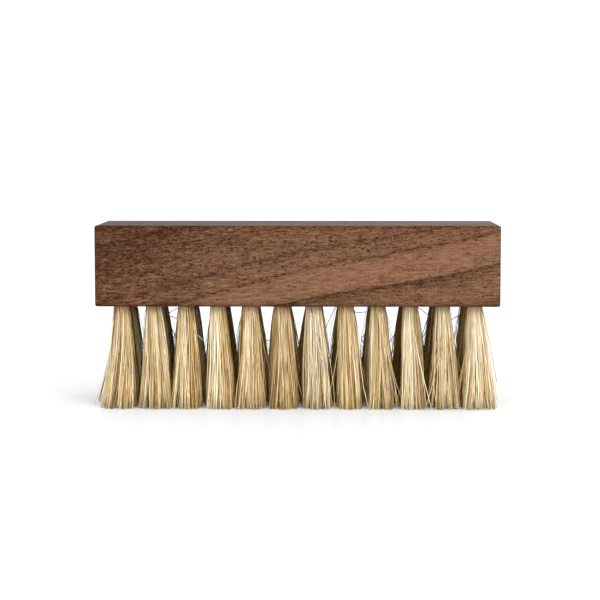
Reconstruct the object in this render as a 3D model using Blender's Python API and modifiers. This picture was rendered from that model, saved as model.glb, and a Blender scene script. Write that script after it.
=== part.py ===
"""A shoe brush: a plain walnut block with three rows of twelve tufts of hog bristle.

Each tuft is a bundle folded in half over a flat steel anchor. The anchor is driven
into a blind hole in the block, where its ends bite into the wood, and the set tufts
are trimmed level. Metres, +Z up. The origin lies on the surface that the trimmed tips
stand on, below the middle of the block. +X runs along the block, and -Y is the front.
"""

import math

import bmesh
import bpy
from mathutils import Matrix, Vector

# Drilling pattern, which the block is cut to
TUFT_COLUMNS = 12
ROW_NAMES = ("front", "middle", "rear")
TUFT_PITCH = 0.010
END_MARGIN = 0.0075
SIDE_MARGIN = 0.0065

# Block
BLOCK_HEIGHT = 0.025
EDGE_ROUND = 0.0006
EDGE_STEPS = 2

# Blind holes
HOLE_DIAMETER = 0.005
HOLE_DEPTH = 0.014
HOLE_SIDES = 12
DRILL_POINT_ANGLE = math.radians(118)
DRILL_OVERRUN = 0.002

# Tufts: free length, the tight neck below the block, and how far a free side leans out
BRISTLE_LENGTH = 0.0315
NECK_LENGTH = 0.001
FREE_SPLAY = 0.0026
TRIM_CUT = 0.0005
TUFT_GAP = 0.0003

# Roots, folded inside the holes
ROOT_SIDES = 8
ROOT_CLEARANCE = 0.0003
ROOT_RIM = 0.0001
FOLD_HEIGHT = 0.0008

# Strands: how many stand in each ring round the tuft's axis, and how the ring is turned
STRAND_SIDES = 4
STRAND_RINGS = ((1, 0.0), (4, math.radians(45)), (8, 0.0))
STRAND_SINK = 0.0005
ROOT_FILL_SHARE = 0.75
TIP_FILL_SHARE = 0.82

# Anchors, cut from flat steel wire and set askew to the grain, which they would split along
ANCHOR_TURN = math.radians(22.5)
ANCHOR_THICKNESS = 0.0004
ANCHOR_HEIGHT = 0.002
ANCHOR_BITE = 0.0006
ANCHOR_CLEARANCE = 0.0003

# Sizes that follow
BLOCK_LENGTH = TUFT_PITCH * (TUFT_COLUMNS - 1) + 2 * END_MARGIN
BLOCK_DEPTH = TUFT_PITCH * (len(ROW_NAMES) - 1) + 2 * SIDE_MARGIN
HOLE_RADIUS = HOLE_DIAMETER / 2
POINT_SLOPE = 1 / math.tan(DRILL_POINT_ANGLE / 2)
ROOT_RADIUS = HOLE_RADIUS * math.cos(math.pi / HOLE_SIDES) - ROOT_CLEARANCE
ROOT_TOP = BRISTLE_LENGTH + HOLE_DEPTH - ROOT_CLEARANCE
ROOT_BOTTOM = BRISTLE_LENGTH - NECK_LENGTH
ANCHOR_LENGTH = HOLE_DIAMETER + 2 * ANCHOR_BITE
HOLE_TURN = ANCHOR_TURN - math.pi / HOLE_SIDES
ANCHOR_LEVEL = ROOT_TOP - FOLD_HEIGHT - ANCHOR_HEIGHT / 2
MET_REACH = (TUFT_PITCH - TUFT_GAP) / 2
FREE_REACH = MET_REACH + FREE_SPLAY

# Finishes: colour, roughness
WALNUT = ("walnut", (0.216, 0.104, 0.058, 1.0), 0.55)
BRISTLE = ("hog_bristle", (0.60, 0.43, 0.23, 1.0), 0.42)


def clear_scene():
    """Removes every object that the file opened with."""
    for thing in list(bpy.data.objects):
        bpy.data.objects.remove(thing, do_unlink=True)


def make_collection(name):
    """Returns a new collection, linked to the scene."""
    collection = bpy.data.collections.new(name)
    bpy.context.scene.collection.children.link(collection)
    return collection


def make_material(finish):
    """Returns a Principled material of one colour and roughness."""
    name, colour, roughness = finish
    material = bpy.data.materials.new(name)
    material.use_nodes = True
    shader = material.node_tree.nodes["Principled BSDF"]
    shader.inputs["Base Color"].default_value = colour
    shader.inputs["Roughness"].default_value = roughness
    material.diffuse_color = colour
    return material


def make_object(name, mesh, collection):
    """Returns an object of this mesh in the collection."""
    thing = bpy.data.objects.new(name, mesh)
    collection.objects.link(thing)
    return thing


def mesh_of(name, shape):
    """Turns a bmesh into a mesh with its faces pointing out, and frees the bmesh."""
    bmesh.ops.recalc_face_normals(shape, faces=shape.faces)
    mesh = bpy.data.meshes.new(name)
    shape.to_mesh(mesh)
    shape.free()
    return mesh


def add_box(shape, size, centre, turn=0):
    """Adds a box of this size, centred on the point and turned about Z."""
    place = Matrix.Translation(centre) @ Matrix.Rotation(turn, 4, "Z") @ Matrix.Diagonal(Vector(size).to_4d())
    bmesh.ops.create_cube(shape, size=1, matrix=place)


def add_pointed_bar(shape, sides, radius, bottom, top, centre, turn=0):
    """Adds an upright round bar whose upper end is pointed at the drill's angle."""
    height = top - bottom
    place = Matrix.Translation((centre.x, centre.y, bottom + height / 2)) @ Matrix.Rotation(turn, 4, "Z")
    made = bmesh.ops.create_cone(
        shape, cap_ends=True, segments=sides, radius1=radius, radius2=radius, depth=height, matrix=place
    )
    shape.normal_update()
    faces = {face for vertex in made["verts"] for face in vertex.link_faces}
    upper = max(faces, key=lambda face: face.calc_center_median().z)
    bmesh.ops.poke(shape, faces=[upper], offset=radius * POINT_SLOPE)


def hole_centres():
    """Yields each hole's row, column and centre, seen from above."""
    for row in range(len(ROW_NAMES)):
        for column in range(TUFT_COLUMNS):
            x = (column - (TUFT_COLUMNS - 1) / 2) * TUFT_PITCH
            y = (row - (len(ROW_NAMES) - 1) / 2) * TUFT_PITCH
            yield row, column, Vector((x, y))


def hole_cutter():
    """The drill's shape at every hole."""
    bottom = BRISTLE_LENGTH - DRILL_OVERRUN
    top = BRISTLE_LENGTH + HOLE_DEPTH
    shape = bmesh.new()
    for _, _, centre in hole_centres():
        add_pointed_bar(shape, HOLE_SIDES, HOLE_RADIUS, bottom, top, centre, HOLE_TURN)
    return mesh_of("drill", shape)


def anchor_seat_cutter():
    """The cuts that the anchors' ends bite into the wall of every hole."""
    size = (
        ANCHOR_THICKNESS + 2 * ANCHOR_CLEARANCE,
        ANCHOR_LENGTH + 2 * ANCHOR_CLEARANCE,
        ANCHOR_HEIGHT + 2 * ANCHOR_CLEARANCE,
    )
    shape = bmesh.new()
    for _, _, centre in hole_centres():
        add_box(shape, size, (centre.x, centre.y, ANCHOR_LEVEL), ANCHOR_TURN)
    return mesh_of("anchor_seat", shape)


def cut_with(target, cutter):
    """Cuts the cutter out of the target with an exact Boolean."""
    cutter.hide_render = True
    cutter.display_type = "WIRE"
    cut = target.modifiers.new(cutter.name, "BOOLEAN")
    cut.operation = "DIFFERENCE"
    cut.solver = "EXACT"
    cut.object = cutter


def build_block(parts, cutters, walnut):
    """The walnut block: sawn square, its edges eased, drilled from below."""
    shape = bmesh.new()
    add_box(shape, (BLOCK_LENGTH, BLOCK_DEPTH, BLOCK_HEIGHT), (0, 0, 0))
    block = make_object("block", mesh_of("block", shape), parts)
    block.location.z = BRISTLE_LENGTH + BLOCK_HEIGHT / 2
    block.data.materials.append(walnut)
    eased = block.modifiers.new("eased_edges", "BEVEL")
    eased.width = EDGE_ROUND
    eased.segments = EDGE_STEPS
    cut_with(block, make_object("drill", hole_cutter(), cutters))
    cut_with(block, make_object("anchor_seat", anchor_seat_cutter(), cutters))
    return block


def ring_points(ring):
    """Yields each strand of a ring: its direction, and its step out from the tuft's axis."""
    count, turn = STRAND_RINGS[ring]
    step = ring / (len(STRAND_RINGS) - 1)
    for number in range(count):
        angle = turn + math.tau * number / count
        yield Vector((math.cos(angle), math.sin(angle))), step


def root_layout():
    """Returns the outer ring's radius and a strand's half diagonal, at the neck of a tuft."""
    # Strands stand a step apart along the diagonals, and fill part of that step.
    step_share = 1 / (len(STRAND_RINGS) - 1)
    half_diagonal_share = step_share * ROOT_FILL_SHARE / math.sqrt(2)
    ring_radius = (ROOT_RADIUS - ROOT_RIM) / (1 + half_diagonal_share)
    return ring_radius, ring_radius * half_diagonal_share


def tip_layout(half_width, half_depth):
    """Returns how far the outer strands' tips lie from the middle in X and Y, and their half diagonal."""
    reach = min(half_width, half_depth)
    step_share = math.sqrt(2) / (len(STRAND_RINGS) - 1)
    half_diagonal_share = step_share * TIP_FILL_SHARE / math.sqrt(2)
    half_diagonal = reach * half_diagonal_share / (1 + half_diagonal_share)
    return half_width - half_diagonal, half_depth - half_diagonal, half_diagonal


def add_strand(shape, root, root_half_diagonal, tip, tip_half_diagonal):
    """Adds one strand from inside the neck to past the trim, leaning from root to tip."""
    bottom = -TRIM_CUT
    top = ROOT_BOTTOM + STRAND_SINK
    made = bmesh.ops.create_cone(
        shape, cap_ends=True, segments=STRAND_SIDES, radius1=tip_half_diagonal, radius2=root_half_diagonal,
        depth=top - bottom, matrix=Matrix.Translation((0, 0, (top + bottom) / 2))
    )
    for vertex in made["verts"]:
        centre = tip if vertex.co.z < (top + bottom) / 2 else root
        vertex.co += centre.to_3d()


def strand_bundle(left, right, front, rear):
    """The strands of a tuft whose tips reach this far from its hole's axis on each side."""
    ring_radius, root_half_diagonal = root_layout()
    width, depth, tip_half_diagonal = tip_layout((left + right) / 2, (front + rear) / 2)
    lean = Vector(((right - left) / 2, (rear - front) / 2))
    shape = bmesh.new()
    for ring in range(len(STRAND_RINGS)):
        for direction, step in ring_points(ring):
            # A round bundle at the root opens out to a square one at the tips.
            squared = direction / max(abs(direction.x), abs(direction.y))
            root = direction * step * ring_radius
            tip = lean + Vector((squared.x * width, squared.y * depth)) * step
            add_strand(shape, root, root_half_diagonal, tip, tip_half_diagonal)
    return mesh_of("strands", shape)


def folded_root():
    """The tight end of the bundle, folded over at the top of its hole."""
    shape = bmesh.new()
    add_pointed_bar(shape, ROOT_SIDES, ROOT_RADIUS, ROOT_BOTTOM, ROOT_TOP, Vector((0, 0)))
    return mesh_of("folded_root", shape)


def anchor_wire():
    """The flat wire inside the fold, which crosses the hole and ends in the wood."""
    shape = bmesh.new()
    add_box(shape, (ANCHOR_THICKNESS, ANCHOR_LENGTH, ANCHOR_HEIGHT), (0, 0, ANCHOR_LEVEL), ANCHOR_TURN)
    return mesh_of("anchor_wire", shape)


def united(name, base, others, workshop):
    """Returns one mesh of closed meshes that run into each other, by exact Boolean unions."""
    whole = make_object(name, base, workshop)
    helpers = [make_object(mesh.name, mesh, workshop) for mesh in others]
    for helper in helpers:
        join = whole.modifiers.new(helper.name, "BOOLEAN")
        join.operation = "UNION"
        join.solver = "EXACT"
        join.object = helper
    evaluated = whole.evaluated_get(bpy.context.evaluated_depsgraph_get())
    mesh = bpy.data.meshes.new_from_object(evaluated)
    mesh.name = name
    for thing in [whole] + helpers:
        bpy.data.objects.remove(thing, do_unlink=True)
    return mesh


def trimmed(mesh):
    """Cuts a tuft off level at the plane that the brush stands on."""
    shape = bmesh.new()
    shape.from_mesh(mesh)
    everything = list(shape.verts) + list(shape.edges) + list(shape.faces)
    cut = bmesh.ops.bisect_plane(
        shape, geom=everything, plane_co=(0, 0, 0), plane_no=(0, 0, -1), clear_outer=True
    )
    rims = [item for item in cut["geom_cut"] if isinstance(item, bmesh.types.BMEdge)]
    bmesh.ops.edgeloop_fill(shape, edges=rims)
    return mesh_of(mesh.name, shape)


def tuft_mesh(left, right, front, rear, bristle, workshop):
    """One set tuft: strands, folded root and anchor."""
    strands = strand_bundle(left, right, front, rear)
    mesh = trimmed(united("tuft", folded_root(), [strands, anchor_wire()], workshop))
    mesh.materials.clear()
    mesh.materials.append(bristle)
    return mesh


def side_reach(place, last):
    """How far a tuft's tips reach towards the low side and the high side of the pattern."""
    low = FREE_REACH if place == 0 else MET_REACH
    high = FREE_REACH if place == last else MET_REACH
    return low, high


def build_tufts(parts, workshop, bristle):
    """All the tufts. Those with the same free sides share a mesh."""
    meshes = {}
    tufts = []
    for row, column, centre in hole_centres():
        sides = side_reach(column, TUFT_COLUMNS - 1) + side_reach(row, len(ROW_NAMES) - 1)
        if sides not in meshes:
            meshes[sides] = tuft_mesh(*sides, bristle, workshop)
        tuft = make_object(f"tuft_{ROW_NAMES[row]}_{column + 1:02d}", meshes[sides], parts)
        tuft.location = centre.to_3d()
        tufts.append(tuft)
    return tufts


def main():
    clear_scene()
    parts = make_collection("shoe_brush")
    cutters = make_collection("cutters")
    brush = make_object("shoe_brush", None, parts)
    pieces = [build_block(parts, cutters, make_material(WALNUT))]
    pieces += build_tufts(parts, cutters, make_material(BRISTLE))
    for piece in pieces:
        piece.parent = brush


main()
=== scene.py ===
"""The looks of a walnut shoe brush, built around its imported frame.

The block keeps its CAD solid and gets a walnut material. Each CAD tuft is replaced by
a tuft of single bristles. Metres, +Z up, and the frame's origin: on the floor below
the middle of the block. Tables and patterns that say mm hold millimetres.
"""

import math

import bpy
import numpy as np
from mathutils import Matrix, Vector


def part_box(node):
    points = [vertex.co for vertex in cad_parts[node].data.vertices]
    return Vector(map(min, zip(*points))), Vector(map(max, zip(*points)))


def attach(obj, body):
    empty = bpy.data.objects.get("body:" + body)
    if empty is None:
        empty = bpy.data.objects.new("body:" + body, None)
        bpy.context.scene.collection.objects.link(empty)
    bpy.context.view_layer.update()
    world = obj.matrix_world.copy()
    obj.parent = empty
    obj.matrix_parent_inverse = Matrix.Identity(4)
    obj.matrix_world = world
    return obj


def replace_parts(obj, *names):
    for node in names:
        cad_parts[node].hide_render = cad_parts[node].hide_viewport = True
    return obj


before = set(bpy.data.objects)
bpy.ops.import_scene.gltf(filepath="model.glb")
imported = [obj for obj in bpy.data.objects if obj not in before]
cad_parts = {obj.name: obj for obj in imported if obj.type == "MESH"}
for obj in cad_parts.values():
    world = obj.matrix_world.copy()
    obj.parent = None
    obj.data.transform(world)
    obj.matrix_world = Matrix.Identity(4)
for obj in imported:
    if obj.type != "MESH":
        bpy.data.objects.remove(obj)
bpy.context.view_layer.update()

MM = 0.001
BLOCK_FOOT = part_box("block")[0].z

# Camera, fitted to the block's corners in the photograph
CAMERA_PLACE = (8.49 * MM, -560.1 * MM, BLOCK_FOOT + 52.48 * MM)
CAMERA_TURN = math.radians(0.81)
CAMERA_TILT = math.radians(5.29)
CAMERA_LENS = 106.38
SENSOR_WIDTH = 36.0
# From facing down, as a new camera or lamp does, to facing level
LEVEL = math.radians(90)

# Drilling pattern, as on the block
ROW_NAMES = ("front", "middle", "rear")
TUFT_COLUMNS = 12
TUFT_PITCH = 10.0 * MM
HOLE_RADIUS = 2.5 * MM

# Bristles: square tubes, with rings at these shares of their free length, the first inside the hole
BRISTLES_A_TUFT = 560
BRISTLE_SIDES = 4
RING_SHARES = (-0.1, 0.0, 0.1, 0.25, 0.42, 0.6, 0.8, 1.0)
# A bristle's usual radius, the thinnest one's share of it, and the share that the thickest one has more
BRISTLE_RADIUS = 0.105 * MM
THINNEST = 0.78
THICKER = 0.62
# How many radii the outermost bristles keep inside the wall of the hole
ROOT_MARGIN = 1.3
SEED = 7
# The turn from one seed of a sunflower to the next
GOLDEN_ANGLE = math.pi * (3 - math.sqrt(5))

# How far tips reach on the free sides, left and right, then front and rear, and how those sides bend out
END_REACHES = (6.2 * MM, 5.7 * MM)
END_CURVES = (1.2, 1.05)
SIDE_REACHES = (9.8 * MM, 8.6 * MM)
SIDE_CURVES = (1.4, 1.4)
# How far the field of a tuft's tips is drawn out from a disc to a square
SQUARE_SHARE = 0.78

# For each row: least and most reach towards the next tuft, how that side bends out, lean, scatter and frizz
ROW_REACHES = ((4.1 * MM, 5.1 * MM), (5.5 * MM, 6.2 * MM), (5.5 * MM, 6.2 * MM))
ROW_CURVES = (1.3, 0.8, 0.9)
ROW_LEANS = (0.65 * MM, 0.3 * MM, 0.3 * MM)
ROW_SCATTERS = (0.85 * MM, 0.8 * MM, 0.7 * MM)
ROW_FRIZZ = (1.15, 0.6, 0.6)

# For each front tuft, its tips' reach in mm towards the low and the high side
FRONT_REACHES = (
    (4.7, 4.2), (4.6, 5.8), (4.3, 4.6), (3.4, 4.9), (4.4, 3.9), (4.4, 4.5),
    (3.3, 4.9), (3.1, 4.3), (4.0, 4.4), (4.1, 3.8), (4.5, 4.2), (5.0, 4.8),
)
# The same for three tufts of the rows behind, by row and column
BACK_REACHES = {(1, 5): (5.8, 7.0), (1, 6): (7.4, 5.8), (2, 6): (7.0, 5.8)}

# Thin strands and wider locks, and how far each draws its bristles' tips together
STRANDS_A_TUFT = 120
STRAND_PULL = 0.45
LOCKS_A_TUFT = 16
LOCK_PULL = 0.24
LOCK_PULL_RANGE = (0.5, 1.5)
LOCK_SCATTER = 0.4 * MM

# How bristles bow and wave on their way down, and how far above the floor their tips end
BOW = 0.28 * MM
BOW_SHAPE = 0.8
LOCK_BOW = 0.15 * MM
WAVE = 0.16 * MM
TIP_RISE = 0.05 * MM
LOCK_TIP_RISE = 0.03 * MM

# Bristles that stray from their tuft
STRAY_SHARE = 0.1
STRAY_SCATTER = 1.6 * MM
STRAY_RISE = 1.5 * MM

# Tone of a bristle, from 0, dull, to 1, bright: what it starts from, what adds to it and how far it drifts.
# Bristles that face out of the brush are made paler, as painted light, and those inside duller, as painted
# shade.
INNER_TONE = 0.11
# Thicker bristles are brighter: partly their own tone, partly painted highlights that stand in for their
# glints.
THICK_TONE = 0.36
OUTER_TONE = 0.40
PALE_TONE = 1.15
LOCK_DRIFT = 0.12
STRAND_DRIFT = 0.11
BRISTLE_DRIFT = 0.13
TONE_DRIFT = 0.06
TIP_DRIFT = 0.12
TONE_RANGE = (0.12, 1.0)
DARK_SHARE = 0.012
DARK_TONE = 0.05

# Warmth of a bristle, from 0, cool, to 1. Bristles inside the brush are made warmer, as painted light that
# has passed through other bristles.
WARMTH = 0.55
WARMTH_DRIFT = 0.18
OUTER_COOLNESS = 0.22
LOCK_WARMTH_DRIFT = 0.22

# For each front tuft, how much paler its outer bristles are than usual: partly tone that differs from tuft
# to tuft, partly painted light and shade for how brightly each tuft is lit
FRONT_PALENESS = (-0.05, -0.06, 0.0, 0.15, -0.05, 0.06, 0.13, 0.03, 0.24, 0.0, 0.17, 0.14)
# How much warmer the rows behind are: painted light, as if it had passed through the bristles in front
BACK_WARMTH = 0.1

# Unwrapping, as shares of a bristle's cell: start and size of its walls across and along, then its caps
WALLS_ACROSS = (0.05, 0.9)
WALLS_ALONG = (0.04, 0.76)
CAP_CORNERS = ((0.1, 0.0), (0.9, 0.0), (0.9, 0.03), (0.1, 0.03))
CAP_LEVELS = (0.86, 0.93)

# Single bristles that stand out between the tufts: radii of dark and pale ones, and the tone that parts them
HAIR_RADII = (0.16 * MM, 0.09 * MM)
PALE_HAIR = 0.5
HAIR_STEPS = 5
# Where along a bristle their colour comes from
HAIR_PLACE = 0.5
# The height of the block's foot in the table below, which gives each one's tone, then its points in mm
HAIR_FOOT = 31.5 * MM
HAIRS = (
    (0.06, ((-43.2, 0.0, 31.8), (-42.4, 0.0, 28.6), (-41.1, 0.0, 28.0), (-39.8, 0.0, 28.7),
            (-38.3, 0.0, 29.4), (-37.0, 0.0, 29.8))),
    (0.20, ((-43.4, 0.0, 31.8), (-42.6, 0.0, 28.9), (-41.1, 0.0, 27.1), (-39.6, 0.0, 26.6),
            (-37.7, 0.0, 25.6), (-36.6, 0.0, 24.6))),
    (0.0, ((-43.2, 0.0, 31.8), (-42.4, 0.0, 28.0), (-41.3, 0.0, 25.2), (-40.3, 0.0, 23.1),
           (-39.5, 0.0, 21.4), (-38.7, 0.0, 19.8), (-37.8, 0.0, 18.0))),
    (0.0, ((-36.9, 0.0, 31.8), (-37.5, 0.0, 27.0), (-38.4, 0.0, 23.4), (-39.2, 0.0, 21.2),
           (-39.9, 0.0, 19.3), (-40.3, 0.0, 17.7), (-40.9, 0.0, 15.6))),
    (0.60, ((-33.6, -10.0, 31.8), (-32.9, -10.2, 27.2), (-31.9, -12.2, 22.9), (-30.6, -13.8, 22.1),
            (-29.4, -14.0, 21.0), (-27.6, -13.6, 20.0), (-26.8, -12.4, 19.6))),
    (0.06, ((-13.2, 0.0, 31.8), (-12.0, 0.0, 23.4), (-10.9, 0.0, 19.6), (-10.1, 0.0, 19.1),
            (-9.3, 0.0, 19.3), (-8.3, 0.0, 19.6), (-7.4, 0.0, 19.7))),
    (0.30, ((12.9, 0.0, 31.8), (11.5, 0.0, 29.3), (10.6, 0.0, 27.3), (9.3, 0.0, 24.6),
            (8.0, 0.0, 21.2))),
    (0.30, ((16.8, 0.0, 31.8), (17.6, 0.0, 28.8), (19.1, 0.0, 28.1), (20.6, 0.0, 28.3),
            (22.3, 0.0, 28.3), (23.4, 0.0, 28.0))),
    (0.10, ((23.2, 0.0, 31.8), (22.4, 0.0, 25.0), (21.1, 0.0, 21.1), (20.1, 0.0, 20.2),
            (20.3, 0.0, 19.1), (21.2, 0.0, 18.4), (22.2, 0.0, 18.1))),
    (0.0, ((33.2, 0.0, 31.8), (32.9, 0.0, 26.6), (32.0, 0.0, 23.2), (30.9, 0.0, 21.6),
           (29.8, 0.0, 19.9), (28.6, 0.0, 17.8))),
    (0.0, ((43.0, 0.0, 31.8), (42.6, 0.0, 28.2), (41.8, 0.0, 24.8), (40.9, 0.0, 22.8),
           (39.8, 0.0, 20.7), (38.7, 0.0, 18.6))),
    (0.30, ((36.9, 0.0, 31.8), (37.7, 0.0, 30.1), (38.9, 0.0, 29.2), (40.2, 0.0, 28.2),
            (41.7, 0.0, 27.1), (42.8, 0.0, 26.1))),
    (0.03, ((43.1, 0.0, 31.8), (42.2, 0.0, 28.8), (41.2, 0.0, 26.4), (40.4, 0.0, 24.5),
            (39.9, 0.0, 22.6), (39.0, 0.0, 19.8))),
    (0.06, ((53.1, 0.0, 31.8), (52.7, 0.0, 28.6), (51.6, 0.0, 27.5), (50.4, 0.0, 27.0),
            (49.0, 0.0, 26.1), (47.8, 0.0, 25.0))),
    (0.08, ((-56.7, -11.3, 31.8), (-57.2, -11.8, 27.5), (-58.2, -12.0, 19.1), (-60.1, -12.0, 9.6),
            (-62.2, -12.0, 1.7))),
    (0.12, ((-56.6, -11.0, 31.8), (-57.2, -11.7, 24.6), (-58.6, -12.0, 15.0), (-60.7, -12.0, 6.5),
            (-61.9, -12.0, 1.1))),
    (0.35, ((56.7, -11.3, 31.8), (57.5, -11.8, 29.6), (58.8, -12.0, 23.9), (60.4, -12.0, 16.1),
            (62.0, -12.0, 7.6))),
)

# Bristle colours from dull to bright, for a cool and a warm bristle, and their change from root to tip:
# painted shade near the block and towards the tips on the floor
COOL_BRISTLE = (
    (0.0, (0.05, 0.035, 0.025)), (0.16, (0.34, 0.21, 0.09)), (0.55, (0.74, 0.59, 0.36)),
    (1.0, (0.99, 0.93, 0.80)),
)
WARM_BRISTLE = (
    (0.0, (0.05, 0.03, 0.015)), (0.16, (0.34, 0.17, 0.025)), (0.55, (0.77, 0.54, 0.22)),
    (1.0, (0.99, 0.88, 0.58)),
)
BRISTLE_LENGTH_SHADE = (
    (0.0, (0.62, 0.48, 0.32)), (0.08, (0.94, 0.91, 0.86)), (0.25, (1.0, 1.0, 1.0)),
    (0.6, (0.91, 0.89, 0.84)), (0.95, (0.93, 0.88, 0.77)), (1.0, (0.89, 0.83, 0.71)),
)
BRISTLE_ROUGHNESS = 0.36
BRISTLE_GLOSS = 0.12

# The wood's pattern is laid out in mm, for a block whose foot is at this height
PATTERN_FOOT = 31.0 * MM
# Growth layers lie round a pith in front of the block's middle and below it. They climb to the right, less
# steeply in the right half than in the left. LAYER_START is where their levels count from.
PITH_BEFORE = 30.0
PITH_BELOW = 49.5
LAYER_CLIMB = 0.2175
LAYER_BEND = 0.0425
BEND_WIDTH = 60.0
LAYER_START = 51.3
# How far the layers wander and ripple, in mm, and how fast the fibres climb to the right
WANDER_SIZE = 4.0
RIPPLE_SIZE = 2.4
FIBRE_CLIMB = 0.07
# Growth layers on the front face: each one's level in mm, and how dark the wood is there
LAYER_LOW = 12.0
LAYER_HIGH = 82.0
LAYER_SHADES = (
    (20.0, 0.42), (25.6, 0.36), (26.0, 0.49), (26.6, 0.38), (30.0, 0.47), (31.6, 0.68), (32.2, 0.82),
    (32.8, 0.36), (34.0, 0.28), (36.0, 0.25), (40.6, 0.30), (41.4, 0.57), (41.7, 0.65), (42.3, 0.42),
    (44.0, 0.39), (46.4, 0.49), (47.1, 0.66), (47.9, 0.44), (50.0, 0.41), (53.0, 0.46), (57.0, 0.57),
    (63.6, 0.63), (64.4, 0.76), (65.2, 0.60), (70.0, 0.62), (74.0, 0.70), (75.0, 0.62), (80.0, 0.62),
)
# How many pores lie there
PORE_SHADES = (
    (20.0, 0.35), (31.0, 0.45), (32.2, 0.95), (33.0, 0.06), (40.2, 0.08), (41.6, 0.85), (42.6, 0.70),
    (46.5, 0.80), (48.0, 1.0), (62.0, 1.0), (66.0, 0.85), (80.0, 0.85),
)

# Noise in the wood: repeats a mm along x, y and z, detail and roughness. Wander and ripple bend the layers,
# fibres and streaks are long, flecks are the short grain between them, and patches and blush are broad.
WANDER = ((0.022, 0.06, 0.06), 2.0, 0.5)
RIPPLE = ((0.12, 0.45, 0.45), 4.0, 0.65)
FIBRES = ((0.28, 1.7, 1.7), 3.0, 0.65)
STREAKS = ((0.08, 0.7, 0.7), 3.0, 0.6)
FLECKS = ((1.7, 2.8, 2.8), 2.0, 0.7)
PATCHES = ((0.035, 0.12, 0.12), 2.0, 0.5)
BLUSH = ((0.05, 0.16, 0.16), 2.0, 0.5)
# How much of each goes into the darkness of the wood
FIBRE_WEIGHT = 1.9
STREAK_WEIGHT = 0.60
FLECK_WEIGHT = 1.25
PATCH_WEIGHT = 0.35

# Pores: cells a mm, the share of cells that hold one, and a shift that parts the two sizes
LARGE_PORES = ((0.42, 1.8, 1.8), 0.55, 0.0)
SMALL_PORES = ((1.05, 2.6, 2.6), 0.72, 37.0)
SMALL_PORE_WEIGHT = 0.95
PORE_SIZE = 0.22
PORE_SIZE_RANGE = 0.24
PORE_SHARPNESS = 14.0
PORE_WEIGHT = 0.9

# Wood colours
WOOD_LIGHT = (0.214, 0.112, 0.067)
WOOD_MID = (0.126, 0.059, 0.031)
WOOD_DARK = (0.036, 0.011, 0.0025)
WOOD_MID_PLACE = 0.45
WOOD_OLIVE = (0.975, 1.015, 0.965)
WOOD_RED = (1.06, 0.97, 0.97)
BLUSH_RANGE = (0.38, 0.62)
PORE_COLOUR = (0.016, 0.004, 0.0005)

# Painted shade: the front of the block darkens towards its left end, away from the light. Slope and level
# along x and along y, and how much
LEFT_SHADE = (-0.025, -0.4)
FRONT_SHADE = (-0.036, 0.4)
LEFT_SHADE_WEIGHT = 0.18

# Painted shade along the long edges and at the ends: from where, in mm from the block's middle, and how fast
MIDDLE_HEIGHT = 43.5
LONG_EDGE = (11.2, 0.9)
END_EDGE = (61.9, 1.2)
EDGE_SHADE_WEIGHT = 0.6
EDGE_SHADE_TINT = (0.30, 0.27, 0.24)
# Painted shade at the foot of the sides, up to this height
FOOT_SHADE = (35.0, -0.25)
FOOT_SHADE_TINT = (0.86, 0.80, 0.68)
# The upper face, known by its normal, gets a painted sheen: paler and greyer, as the surround's reflection
# makes it
UPPER_FACE = (0.9, 10.0)
UPPER_SHEEN_WEIGHT = 0.14
PAINTED_SHEEN = (0.25, 0.20, 0.16)

# Surface of the wood
WOOD_ROUGHNESS = 0.44
DARK_ROUGHNESS = 0.12
PORE_ROUGHNESS = 0.25
WOOD_GLOSS = 0.08
FIBRE_RELIEF = 0.35
BUMP_STRENGTH = 0.5
BUMP_DISTANCE = 0.06 * MM

# The floor: a white sheet with a slight gloss and a painted glow: it glows a little, though no lamp lies
# below it
FLOOR_SIZE = 12.0
FLOOR_COLOUR = (0.712, 0.74, 0.765)
FLOOR_ROUGHNESS = 0.25
FLOOR_GLOSS = 0.018
FLOOR_LIGHT = (0.98, 0.99, 1.0)
FLOOR_PAINTED_GLOW = 0.04

# Sky brightness from straight below up to the zenith
SKY = (
    (0.0, (1.14, 1.1, 1.05)), (0.52, (1.14, 1.1, 1.05)), (0.75, (1.35, 1.35, 1.35)), (1.0, (1.6, 1.6, 1.6)),
)
# The sky is brighter in front of the brush, and brightest at this side. Behind the brush it dims, from a
# lift above the horizon on and with this rise.
SKY_SIDE = math.radians(25)
SKY_FRONT = 0.65
SKY_REAR = 0.85
SKY_LIFT = 0.3
SKY_RISE = 4.0
SUN_HEIGHT = math.radians(24)
SUN_SIDE = math.radians(38)
SUN_WIDTH = math.radians(22)
SUN_STRENGTH = 1.0

# Sockets of a colour mix: its factor and its two colours, then the result
MIX_INPUTS = (0, 6, 7)
MIX_RESULT = 2
OPAQUE = (1.0,)


def new_material(name):
    """Returns a new node material, its tree and its Principled shader."""
    material = bpy.data.materials.new(name)
    material.use_nodes = True
    return material, material.node_tree, material.node_tree.nodes["Principled BSDF"]


def node(tree, kind, **settings):
    """Adds a node and sets its properties."""
    made = tree.nodes.new(kind)
    for key, value in settings.items():
        setattr(made, key, value)
    return made


def link(tree, source, target):
    """Joins an output to an input."""
    tree.links.new(source, target)


def feed(tree, value, target):
    """Gives an input its value: a socket, a number, or a colour without its alpha."""
    if isinstance(value, (int, float)):
        target.default_value = value
    elif isinstance(value, tuple):
        target.default_value = value + OPAQUE
    else:
        link(tree, value, target)


def math_node(tree, operation, *values, clamp=False):
    """Adds a math node on its values, each a socket or a number, and returns its output."""
    made = node(tree, "ShaderNodeMath", operation=operation, use_clamp=clamp)
    for place, value in enumerate(values):
        feed(tree, value, made.inputs[place])
    return made.outputs[0]


def added(tree, first, *others):
    """Adds values up and returns the sum's output."""
    for other in others:
        first = math_node(tree, "ADD", first, other)
    return first


def centred(tree, value, size):
    """Turns a noise value about 0.5 into one about zero of this size."""
    return math_node(tree, "MULTIPLY", math_node(tree, "SUBTRACT", value, 0.5), size)


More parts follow.
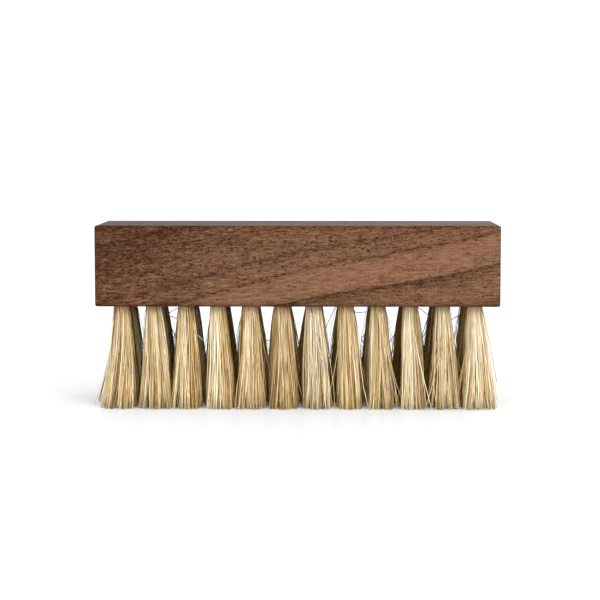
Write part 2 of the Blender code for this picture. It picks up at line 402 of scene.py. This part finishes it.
def rising(tree, value, start, slope):
    """Rises from 0 at the start to 1 with this slope. With a negative slope it falls to 0 at the start."""
    return math_node(tree, "MULTIPLY", math_node(tree, "SUBTRACT", value, start), slope, clamp=True)


def ramp(tree, factor, stops):
    """Adds a colour ramp with these stops, each a place and a colour, and returns its colour."""
    made = node(tree, "ShaderNodeValToRGB")
    elements = made.color_ramp.elements
    while len(elements) < len(stops):
        elements.new(0.5)
    for element, (place, colour) in zip(elements, stops):
        element.position = place
        element.color = colour + OPAQUE
    link(tree, factor, made.inputs[0])
    return made.outputs[0]


def layer_stops(pairs):
    """Turns pairs of a layer's level in mm and a value into the stops of a ramp."""
    return [((level - LAYER_LOW) / (LAYER_HIGH - LAYER_LOW), (value,) * 3) for level, value in pairs]


def mix(tree, kind, factor, first, second):
    """Adds a colour mix and returns its output. Each input is a socket, a number or a colour."""
    made = node(tree, "ShaderNodeMix", data_type="RGBA", blend_type=kind)
    for place, value in zip(MIX_INPUTS, (factor, first, second)):
        feed(tree, value, made.inputs[place])
    return made.outputs[MIX_RESULT]


def vector_node(tree, operation, vector, other):
    """Adds a node that joins a vector socket with a fixed vector."""
    made = node(tree, "ShaderNodeVectorMath", operation=operation)
    link(tree, vector, made.inputs[0])
    made.inputs[1].default_value = other
    return made


def stretched(tree, vector, scale):
    """Scales a vector socket along each axis."""
    return vector_node(tree, "MULTIPLY", vector, scale).outputs[0]


def noise(tree, vector, scale, detail, roughness):
    """Adds a noise texture on a stretched vector and returns its value, about 0.5."""
    made = node(tree, "ShaderNodeTexNoise")
    made.inputs["Scale"].default_value = 1.0
    made.inputs["Detail"].default_value = detail
    made.inputs["Roughness"].default_value = roughness
    link(tree, stretched(tree, vector, scale), made.inputs["Vector"])
    return made.outputs[0]


def wood_axes(tree):
    """A point's x, y and z in the wood's pattern, in mm, and its place along the climbing fibres."""
    place = node(tree, "ShaderNodeTexCoord").outputs["Object"]
    raised = vector_node(tree, "SUBTRACT", place, (0.0, 0.0, BLOCK_FOOT - PATTERN_FOOT)).outputs[0]
    axes = node(tree, "ShaderNodeSeparateXYZ")
    link(tree, stretched(tree, raised, (1 / MM,) * 3), axes.inputs[0])
    x, y, z = axes.outputs
    level_z = math_node(tree, "SUBTRACT", z, math_node(tree, "MULTIPLY", x, FIBRE_CLIMB))
    joined = node(tree, "ShaderNodeCombineXYZ")
    for source, target in zip((x, y, level_z), joined.inputs):
        link(tree, source, target)
    return x, y, z, joined.outputs[0]


def layer_share(tree, x, y, z, fibre):
    """Which growth layer a point lies in, from 0 at the lowest level to 1 at the highest."""
    side = math_node(tree, "POWER", math_node(tree, "ADD", y, PITH_BEFORE), 2.0)
    rise = math_node(tree, "POWER", math_node(tree, "ADD", z, PITH_BELOW), 2.0)
    radius = math_node(tree, "SQRT", math_node(tree, "ADD", side, rise))
    bend = math_node(tree, "SQRT", math_node(tree, "ADD", math_node(tree, "MULTIPLY", x, x), BEND_WIDTH))
    climb = math_node(tree, "MULTIPLY", x, LAYER_CLIMB)
    climb = math_node(tree, "SUBTRACT", climb, math_node(tree, "MULTIPLY", bend, LAYER_BEND))
    level = math_node(tree, "SUBTRACT", math_node(tree, "SUBTRACT", radius, climb), LAYER_START)
    wander = centred(tree, noise(tree, fibre, *WANDER), WANDER_SIZE)
    ripple = centred(tree, noise(tree, fibre, *RIPPLE), RIPPLE_SIZE)
    level = math_node(tree, "SUBTRACT", added(tree, level, wander, ripple), LAYER_LOW)
    return math_node(tree, "DIVIDE", level, LAYER_HIGH - LAYER_LOW, clamp=True)


def pore_mask(tree, fibre, room, scale, density, shift):
    """Short dark dashes along the grain: one cell in so many holds one, and their sizes differ."""
    moved = vector_node(tree, "ADD", stretched(tree, fibre, scale), (shift,) * 3).outputs[0]
    cells = node(tree, "ShaderNodeTexVoronoi")
    cells.inputs["Scale"].default_value = 1.0
    link(tree, moved, cells.inputs["Vector"])
    facts = node(tree, "ShaderNodeSeparateColor")
    link(tree, cells.outputs["Color"], facts.inputs[0])
    chance, largeness, _ = facts.outputs
    size = math_node(tree, "MULTIPLY", largeness, PORE_SIZE_RANGE)
    size = math_node(tree, "ADD", size, PORE_SIZE)
    inside = math_node(tree, "SUBTRACT", size, cells.outputs["Distance"])
    shape = math_node(tree, "MULTIPLY", inside, PORE_SHARPNESS, clamp=True)
    chosen = math_node(tree, "LESS_THAN", chance, math_node(tree, "MULTIPLY", room, density))
    return math_node(tree, "MULTIPLY", shape, chosen)


def wood_pores(tree, share, fibre):
    """Pores of two sizes, as many as each growth layer holds."""
    room = ramp(tree, share, layer_stops(PORE_SHADES))
    large = pore_mask(tree, fibre, room, *LARGE_PORES)
    small = math_node(tree, "MULTIPLY", pore_mask(tree, fibre, room, *SMALL_PORES), SMALL_PORE_WEIGHT)
    return math_node(tree, "MAXIMUM", large, small)


def wood_darkness(tree, x, y, share, fibre, fibres):
    """How dark the wood is, from its layers, its grain and painted shade at the left end of its front."""
    shade = ramp(tree, share, layer_stops(LAYER_SHADES))
    # Painted shade towards the left end of the front, fading towards the rear.
    left_shade = math_node(tree, "MULTIPLY_ADD", x, *LEFT_SHADE, clamp=True)
    front = math_node(tree, "MULTIPLY_ADD", y, *FRONT_SHADE, clamp=True)
    end = math_node(tree, "MULTIPLY", math_node(tree, "MULTIPLY", left_shade, front), LEFT_SHADE_WEIGHT)
    return added(
        tree, shade, end,
        centred(tree, fibres, FIBRE_WEIGHT),
        centred(tree, noise(tree, fibre, *STREAKS), STREAK_WEIGHT),
        centred(tree, noise(tree, fibre, *FLECKS), FLECK_WEIGHT),
        centred(tree, noise(tree, fibre, *PATCHES), PATCH_WEIGHT),
    )


def wood_colour(tree, dark, pores, fibre):
    """The wood's own colour, between olive and red, with its pores."""
    wood = ramp(tree, dark, ((0.0, WOOD_LIGHT), (WOOD_MID_PLACE, WOOD_MID), (1.0, WOOD_DARK)))
    blush = ramp(tree, noise(tree, fibre, *BLUSH), tuple(zip(BLUSH_RANGE, (WOOD_OLIVE, WOOD_RED))))
    wood = mix(tree, "MULTIPLY", 1.0, wood, blush)
    return mix(tree, "MIX", math_node(tree, "MULTIPLY", pores, PORE_WEIGHT), wood, PORE_COLOUR)


def finished_colour(tree, colour, x, z):
    """The wood's colour with painted shade along its edges and at its foot, and a painted sheen on its upper
    face.
    """
    height = math_node(tree, "ABSOLUTE", math_node(tree, "SUBTRACT", z, MIDDLE_HEIGHT))
    # Painted shade: the long edges and the ends darken towards the edge tint.
    edge_shade = rising(tree, height, *LONG_EDGE)
    end_edge_shade = rising(tree, math_node(tree, "ABSOLUTE", x), *END_EDGE)
    edge_shade = math_node(tree, "MULTIPLY", math_node(tree, "MAXIMUM", edge_shade, end_edge_shade), EDGE_SHADE_WEIGHT)
    colour = mix(tree, "MULTIPLY", edge_shade, colour, EDGE_SHADE_TINT)
    # Painted shade: darker towards the foot of the block.
    colour = mix(tree, "MULTIPLY", rising(tree, z, *FOOT_SHADE), colour, FOOT_SHADE_TINT)
    # Painted sheen: the upper face is made paler and greyer.
    normal = node(tree, "ShaderNodeSeparateXYZ")
    link(tree, node(tree, "ShaderNodeTexCoord").outputs["Normal"], normal.inputs[0])
    upper = math_node(tree, "MULTIPLY", rising(tree, normal.outputs[2], *UPPER_FACE), UPPER_SHEEN_WEIGHT)
    return mix(tree, "MIX", upper, colour, PAINTED_SHEEN)


def walnut_material():
    """Oiled walnut as a solid pattern in space, so that its grain runs on round the edges."""
    material, tree, shader = new_material("walnut_oiled")
    x, y, z, fibre = wood_axes(tree)
    share = layer_share(tree, x, y, z, fibre)
    fibres = noise(tree, fibre, *FIBRES)
    dark = wood_darkness(tree, x, y, share, fibre, fibres)
    pores = wood_pores(tree, share, fibre)
    colour = finished_colour(tree, wood_colour(tree, dark, pores, fibre), x, z)
    link(tree, colour, shader.inputs["Base Color"])

    rough = math_node(tree, "ADD", math_node(tree, "MULTIPLY", dark, DARK_ROUGHNESS), WOOD_ROUGHNESS)
    rough = math_node(tree, "ADD", rough, math_node(tree, "MULTIPLY", pores, PORE_ROUGHNESS))
    link(tree, rough, shader.inputs["Roughness"])
    shader.inputs["Specular IOR Level"].default_value = WOOD_GLOSS
    relief = math_node(tree, "SUBTRACT", math_node(tree, "MULTIPLY", fibres, FIBRE_RELIEF), pores)
    bump = node(tree, "ShaderNodeBump")
    bump.inputs["Strength"].default_value = BUMP_STRENGTH
    bump.inputs["Distance"].default_value = BUMP_DISTANCE
    link(tree, relief, bump.inputs["Height"])
    link(tree, bump.outputs[0], shader.inputs["Normal"])
    return material


def bristle_material():
    """Blond hog bristle. Each bristle carries a tone, a warmth and its place along its length."""
    material, tree, shader = new_material("hog_bristle_blond")
    facts = node(tree, "ShaderNodeAttribute", attribute_name="bristle")
    parts = node(tree, "ShaderNodeSeparateColor")
    link(tree, facts.outputs["Color"], parts.inputs[0])
    tone, warmth, along = parts.outputs
    colour = mix(tree, "MIX", warmth, ramp(tree, tone, COOL_BRISTLE), ramp(tree, tone, WARM_BRISTLE))
    # Painted shade: darker near the block and towards the tips.
    colour = mix(tree, "MULTIPLY", 1.0, colour, ramp(tree, along, BRISTLE_LENGTH_SHADE))
    link(tree, colour, shader.inputs["Base Color"])
    shader.inputs["Roughness"].default_value = BRISTLE_ROUGHNESS
    shader.inputs["Specular IOR Level"].default_value = BRISTLE_GLOSS
    return material


def floor_material():
    """A plain white sheet with a slight gloss and a slight painted glow."""
    material, _, shader = new_material("white_sheet")
    shader.inputs["Base Color"].default_value = FLOOR_COLOUR + OPAQUE
    shader.inputs["Roughness"].default_value = FLOOR_ROUGHNESS
    shader.inputs["Specular IOR Level"].default_value = FLOOR_GLOSS
    # Painted light: the sheet glows, though it is no lamp.
    shader.inputs["Emission Color"].default_value = FLOOR_LIGHT + OPAQUE
    shader.inputs["Emission Strength"].default_value = FLOOR_PAINTED_GLOW
    return material


def make_camera():
    """The photograph's viewpoint."""
    data = bpy.data.cameras.new("camera")
    data.lens = CAMERA_LENS
    data.sensor_width = SENSOR_WIDTH
    camera = bpy.data.objects.new("camera", data)
    camera.location = CAMERA_PLACE
    camera.rotation_euler = (LEVEL - CAMERA_TILT, 0.0, CAMERA_TURN)
    bpy.context.scene.collection.objects.link(camera)
    bpy.context.scene.camera = camera


def make_floor():
    """The floor, wide enough to fill every view."""
    bpy.ops.mesh.primitive_plane_add(size=FLOOR_SIZE)
    floor = bpy.context.object
    floor.name = "floor"
    floor.data.materials.append(floor_material())


def sky_colour(tree):
    """The surround's colour in each direction."""
    direction = node(tree, "ShaderNodeTexCoord").outputs["Generated"]
    axes = node(tree, "ShaderNodeSeparateXYZ")
    link(tree, direction, axes.inputs[0])
    up = axes.outputs[2]
    towards = (math.sin(SKY_SIDE), -math.cos(SKY_SIDE), 0.0)
    forward = vector_node(tree, "DOT_PRODUCT", direction, towards).outputs["Value"]
    before = math_node(tree, "MULTIPLY", forward, SKY_FRONT, clamp=True)
    lift = rising(tree, up, SKY_LIFT, SKY_RISE)
    behind = math_node(tree, "MULTIPLY", math_node(tree, "MULTIPLY", forward, lift), -SKY_REAR, clamp=True)
    weight = math_node(tree, "ADD", math_node(tree, "SUBTRACT", before, behind), 1.0)
    height = math_node(tree, "MULTIPLY_ADD", up, 0.5, 0.5)
    return mix(tree, "MULTIPLY", 1.0, ramp(tree, height, SKY), weight)


def make_light():
    """Soft studio light: a white surround, and one broad light at the front right."""
    world = bpy.data.worlds.new("studio")
    world.use_nodes = True
    link(world.node_tree, sky_colour(world.node_tree), world.node_tree.nodes["Background"].inputs["Color"])
    bpy.context.scene.world = world
    sun = bpy.data.lights.new("soft_box", "SUN")
    sun.energy = SUN_STRENGTH
    sun.angle = SUN_WIDTH
    lamp = bpy.data.objects.new("soft_box", sun)
    lamp.rotation_euler = (LEVEL - SUN_HEIGHT, 0.0, SUN_SIDE)
    bpy.context.scene.collection.objects.link(lamp)
    bpy.context.scene.view_settings.view_transform = "Standard"


def side_reach(random, place, last, reaches, curves, row, fixed=None):
    """How far a tuft's tips reach towards the low and high side, and how each side bends out."""
    low, high = [(random.uniform(*ROW_REACHES[row]), ROW_CURVES[row]) for _ in range(2)]
    if fixed:
        low, high = [(reach * MM, ROW_CURVES[row]) for reach in fixed]
    if place == 0:
        low = reaches[0], curves[0]
    if place == last:
        high = reaches[1], curves[1]
    return low, high


def disc_points(count, turn):
    """Evenly spread points in a unit disc, as the seeds in a sunflower."""
    number = np.arange(count)
    radius = np.sqrt((number + 0.5) / count)
    angle = number * GOLDEN_ANGLE + turn
    return np.stack([radius * np.cos(angle), radius * np.sin(angle)], 1)


def squared(points):
    """Moves points of a disc most of the way towards a square of the same half width."""
    factor = np.linalg.norm(points, axis=1) / np.abs(points).max(1)
    return points * (1 - SQUARE_SHARE + SQUARE_SHARE * factor)[:, None]


def nearest(points, centres):
    """The number of the centre that lies nearest to each point."""
    return np.argmin(((points[:, None] - centres[None]) ** 2).sum(2), 1)


def gathered(random, tip, lean, half):
    """Tips drawn together in thin strands, and these in locks, with each bristle's lock and strand."""
    strands = lean + squared(disc_points(STRANDS_A_TUFT, random.uniform(0, math.tau))) * half
    strand = nearest(tip, strands)
    tip = tip + (strands[strand] - tip) * STRAND_PULL
    locks = lean + squared(disc_points(LOCKS_A_TUFT, random.uniform(0, math.tau))) * half
    locks += random.normal(0, LOCK_SCATTER, locks.shape)
    lock = nearest(tip, locks)
    pull = LOCK_PULL * random.uniform(*LOCK_PULL_RANGE, len(tip))
    return tip + (locks[lock] - tip) * pull[:, None], lock, strand


def tuft_lines(random, centre, sides, row):
    """Each bristle's centre line as rings of points, its lock and strand, and its place in the tuft."""
    reaches, curves = np.moveaxis(np.array(sides), 2, 0)
    half = reaches.sum(1) / 2
    lean = (reaches[:, 1] - reaches[:, 0]) / 2
    disc = disc_points(BRISTLES_A_TUFT, random.uniform(0, math.tau))
    root = disc * (HOLE_RADIUS - ROOT_MARGIN * BRISTLE_RADIUS)
    tip = lean + squared(disc) * half + random.normal(0, ROW_SCATTERS[row], disc.shape)
    tip, lock, strand = gathered(random, tip, lean, half)

    stray = random.random(BRISTLES_A_TUFT) < STRAY_SHARE
    frizz = ROW_FRIZZ[row]
    tip += frizz * random.normal(0, STRAY_SCATTER, disc.shape) * stray[:, None]
    bow = frizz * random.normal(0, BOW, disc.shape) * (1 + stray)[:, None]
    bow += random.normal(0, LOCK_BOW, (LOCKS_A_TUFT, 2))[lock]
    wave = frizz * random.normal(0, WAVE, disc.shape) * (1 + stray)[:, None]
    tip_height = np.abs(random.normal(0, TIP_RISE, BRISTLES_A_TUFT))
    tip_height += random.uniform(0, LOCK_TIP_RISE, LOCKS_A_TUFT)[lock]
    tip_height += stray * random.uniform(0, STRAY_RISE, BRISTLES_A_TUFT)

    move = tip - root
    curve = np.where(move < 0, curves[:, 0], curves[:, 1])
    rings = []
    for share in RING_SHARES:
        spread = max(share, 0.0)
        flat = root + move * spread ** curve + bow * math.sin(math.pi * spread ** BOW_SHAPE)
        flat += wave * math.sin(math.tau * spread)
        flat[:, 0] += ROW_LEANS[row] * (1 - (1 - spread) ** 2)
        height = BLOCK_FOOT + (tip_height - BLOCK_FOOT) * share
        rings.append(np.column_stack([flat + centre, height]))
    return np.stack(rings, 1), (lock, strand), disc


def unwrap(mesh, count, rings):
    """Lays out each tube in a cell of its own, round it across and along it upwards, its caps above."""
    columns = math.ceil(math.sqrt(count))
    number = np.arange(count)
    corner = np.column_stack([number % columns, number // columns]) / columns
    side = np.arange(BRISTLE_SIDES)
    across = np.stack([side, side + 1, side + 1, side], -1) / BRISTLE_SIDES
    step = np.arange(rings - 1)
    along = np.stack([step, step, step + 1, step + 1], -1) / (rings - 1)
    walls = np.zeros((count, rings - 1, BRISTLE_SIDES, BRISTLE_SIDES, 2))
    walls[..., 0] = (WALLS_ACROSS[0] + WALLS_ACROSS[1] * across)[None, None]
    walls[..., 1] = (WALLS_ALONG[0] + WALLS_ALONG[1] * along)[None, :, None]
    walls = corner[:, None, None, None] + walls / columns
    caps = [corner[:, None] + (np.array(CAP_CORNERS) + (0.0, level)) / columns for level in CAP_LEVELS]
    layer = mesh.uv_layers.new(name="OFBake")
    layer.data.foreach_set("uv", np.concatenate([part.reshape(-1) for part in (walls, *caps)]))


def tube_points(lines, radii):
    """The corners of a tube round each line, ring by ring."""
    along = np.gradient(lines, axis=1)
    along /= np.linalg.norm(along, axis=2, keepdims=True)
    across = np.cross(along, np.array([1.0, 0.0, 0.0]))
    across /= np.linalg.norm(across, axis=2, keepdims=True)
    third = np.cross(along, across)
    turns = ((np.arange(BRISTLE_SIDES) + 0.5) * math.tau / BRISTLE_SIDES)[:, None]
    wheel = np.cos(turns) * across[:, :, None] + np.sin(turns) * third[:, :, None]
    points = lines[:, :, None] + wheel * radii[:, None, None, None]
    # The last ring is cut level.
    points[:, -1, :, 2] = lines[:, -1, None, 2]
    return points.reshape(-1, 3)


def tube_faces(count, rings):
    """The faces of so many tubes: all their walls, then the caps at their roots and at their tips."""
    side = np.arange(BRISTLE_SIDES)
    after = (side + 1) % BRISTLE_SIDES
    start = (np.arange(count) * rings * BRISTLE_SIDES)[:, None]
    lower = (start + np.arange(rings - 1) * BRISTLE_SIDES)[..., None]
    upper = lower + BRISTLE_SIDES
    walls = np.stack([lower + side, lower + after, upper + after, upper + side], -1)
    first = start + side[::-1]
    last = start + (rings - 1) * BRISTLE_SIDES + side
    return walls.reshape(-1, BRISTLE_SIDES), np.concatenate([first, last])


def tube_mesh(name, lines, radii, facts, shares):
    """A mesh of one closed tube for each line. facts holds each ring's tones and warmths."""
    count, rings, _ = lines.shape
    walls, caps = tube_faces(count, rings)
    mesh = bpy.data.meshes.new(name)
    mesh.from_pydata(tube_points(lines, radii).tolist(), [], np.concatenate([walls, caps]).tolist())
    smooth = np.arange(len(walls) + len(caps)) < len(walls)
    mesh.polygons.foreach_set("use_smooth", smooth)
    tint = np.ones((count, rings, BRISTLE_SIDES, 4), np.float32)
    tint[..., 0] = facts[0][:, :, None]
    tint[..., 1] = facts[1][:, :, None]
    tint[..., 2] = shares[None, :, None]
    layer = mesh.color_attributes.new("bristle", "FLOAT_COLOR", "POINT")
    layer.data.foreach_set("color", tint.reshape(-1))
    unwrap(mesh, count, rings)
    mesh.update()
    return mesh


def add_piece(name, mesh, material):
    """Puts a mesh of bristles into the scene as a piece that rides on the brush."""
    mesh.materials.append(material)
    piece = bpy.data.objects.new(name, mesh)
    bpy.context.scene.collection.objects.link(piece)
    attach(piece, "root")
    return piece


def exposure(disc, row, column):
    """How far each bristle faces out of the brush, from -1 inside it to 1 on its outside."""
    facing = np.full(len(disc), -1.0)
    if row == 0:
        facing = np.maximum(facing, -disc[:, 1])
    if row == len(ROW_NAMES) - 1:
        facing = np.maximum(facing, disc[:, 1])
    if column == 0:
        facing = np.maximum(facing, -disc[:, 0])
    if column == TUFT_COLUMNS - 1:
        facing = np.maximum(facing, disc[:, 0])
    return facing


def bristle_facts(random, groups, facing, thick, pale, warm):
    """A tone and a warmth for each bristle's rings: paler outside the brush and duller inside, as painted
    light and shade, and warmer inside, as painted light.
    """
    lock, strand = groups
    count, rings = len(lock), len(RING_SHARES)
    # Painted light and shade: bristles that face out of the brush are paler.
    outer_light = (OUTER_TONE + PALE_TONE * pale) * np.maximum(facing, 0)
    tone = INNER_TONE + THICK_TONE * thick + outer_light + random.normal(0, LOCK_DRIFT, LOCKS_A_TUFT)[lock]
    tone += random.normal(0, STRAND_DRIFT, STRANDS_A_TUFT)[strand] + random.normal(0, BRISTLE_DRIFT, count)
    tone = tone[:, None] + random.normal(0, TONE_DRIFT, (count, rings))
    tone += random.normal(0, TONE_DRIFT, (LOCKS_A_TUFT, rings))[lock]
    tone[:, -1] += random.normal(0, TIP_DRIFT, count)
    tone = np.clip(tone, *TONE_RANGE)
    tone[random.random(count) < DARK_SHARE] = DARK_TONE
    # Painted light: bristles inside the brush and in the rows behind are warmer.
    warmth = warm + random.normal(WARMTH, WARMTH_DRIFT, count) - OUTER_COOLNESS * facing
    warmth += random.normal(0, LOCK_WARMTH_DRIFT, LOCKS_A_TUFT)[lock]
    return tone, np.repeat(np.clip(warmth, 0, 1)[:, None], rings, 1)


def make_tuft(row, column, material):
    """A tuft of single bristles in place of a CAD tuft."""
    random = np.random.default_rng(SEED + row * TUFT_COLUMNS + column)
    last_column, last_row = TUFT_COLUMNS - 1, len(ROW_NAMES) - 1
    centre = np.array([column - last_column / 2, row - last_row / 2]) * TUFT_PITCH
    fixed = FRONT_REACHES[column] if row == 0 else BACK_REACHES.get((row, column))
    pale, warm = (FRONT_PALENESS[column], 0.0) if row == 0 else (0.0, BACK_WARMTH)
    sides = (
        side_reach(random, column, last_column, END_REACHES, END_CURVES, row, fixed),
        side_reach(random, row, last_row, SIDE_REACHES, SIDE_CURVES, row),
    )
    lines, groups, disc = tuft_lines(random, centre, sides, row)
    thick = random.random(len(lines)) ** 2
    radii = BRISTLE_RADIUS * (THINNEST + THICKER * thick)
    facts = bristle_facts(random, groups, exposure(disc, row, column), thick, pale, warm)
    node_name = f"tuft_{ROW_NAMES[row]}_{column + 1:02d}"
    piece_name = "bristles_" + node_name
    mesh = tube_mesh(piece_name, lines, radii, facts, np.clip(RING_SHARES, 0, 1))
    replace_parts(add_piece(piece_name, mesh, material), node_name)


def make_tufts(material):
    """A tuft of single bristles for each CAD tuft."""
    for row in range(len(ROW_NAMES)):
        for column in range(TUFT_COLUMNS):
            make_tuft(row, column, material)


def smooth_line(points):
    """Points on a smooth curve through the given ones, HAIR_STEPS for each stretch between two of them."""
    points = np.array(points) * MM
    padded = np.concatenate([[2 * points[0] - points[1]], points, [2 * points[-1] - points[-2]]])
    made = []
    for place in range(len(points) - 1):
        before, start, end, after = padded[place:place + 4]
        for step in range(HAIR_STEPS):
            share = step / HAIR_STEPS
            made.append(0.5 * (
                2 * start + (end - before) * share + (2 * before - 5 * start + 4 * end - after) * share ** 2
                + (3 * start - before - 3 * end + after) * share ** 3
            ))
    made.append(points[-1])
    return np.array(made)


def make_hairs(material):
    """The single bristles that stand out between the tufts, all of them with the same number of rings."""
    lines = [smooth_line(points) for _, points in HAIRS]
    rings = max(len(line) for line in lines)
    places = np.linspace(0, 1, rings)
    even = np.zeros((len(lines), rings, 3))
    for number, line in enumerate(lines):
        own = np.linspace(0, 1, len(line))
        for axis in range(3):
            even[number, :, axis] = np.interp(places, own, line[:, axis])
    even[..., 2] += BLOCK_FOOT - HAIR_FOOT
    tones = np.array([tone for tone, _ in HAIRS])
    facts = np.repeat(tones[:, None], rings, 1), np.zeros((len(tones), rings))
    radii = np.where(tones < PALE_HAIR, *HAIR_RADII)
    mesh = tube_mesh("stray_bristles", even, radii, facts, np.full(rings, HAIR_PLACE))
    add_piece("stray_bristles", mesh, material)


make_camera()
make_light()
make_floor()
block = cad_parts["block"]
block.data.materials.clear()
block.data.materials.append(walnut_material())
bristle = bristle_material()
make_tufts(bristle)
make_hairs(bristle)
